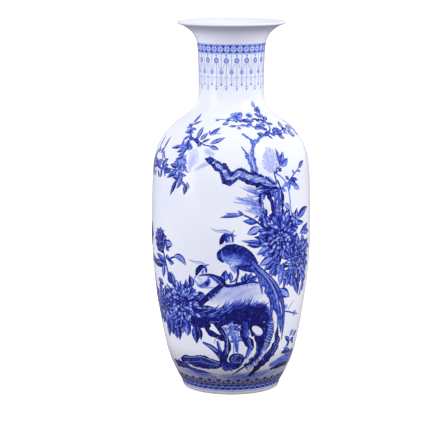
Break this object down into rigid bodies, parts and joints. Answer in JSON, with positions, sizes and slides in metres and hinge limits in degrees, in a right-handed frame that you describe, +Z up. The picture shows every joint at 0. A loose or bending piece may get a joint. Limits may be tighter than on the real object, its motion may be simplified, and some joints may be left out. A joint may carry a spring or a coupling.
{
  "type": "baluster vase",
  "caption": "Tall glazed porcelain baluster vase with high shoulders, a straight neck, a flared mouth and a low foot ring, luted from thrown sections.",
  "frame": {"origin": "centre of the foot ring, on the plane the vase stands on", "axes": "+Z up along the axis of rotation, out of the mouth; -Y towards the side with the main painted scene; +X to the right of someone who faces that side"},
  "size_m": [0.259, 0.259, 0.6],
  "materials": {
    "glazed_porcelain": "clear glossy glaze over white porcelain",
    "luting_slip": "matt fired slip",
    "cobalt": "cobalt blue painting under clear glaze"
  },
  "bodies": {
    "root": {"base_section": "glazed_porcelain", "lower_body_section": "glazed_porcelain", "upper_body_section": "glazed_porcelain", "shoulder_section": "glazed_porcelain", "neck_section": "glazed_porcelain", "mouth_section": "glazed_porcelain", "slip_joint_base_to_lower_body": "luting_slip", "slip_joint_lower_body_to_upper_body": "luting_slip", "slip_joint_upper_body_to_shoulder": "luting_slip", "slip_joint_shoulder_to_neck": "luting_slip", "slip_joint_neck_to_mouth": "luting_slip"}
  },
  "joints": []
}
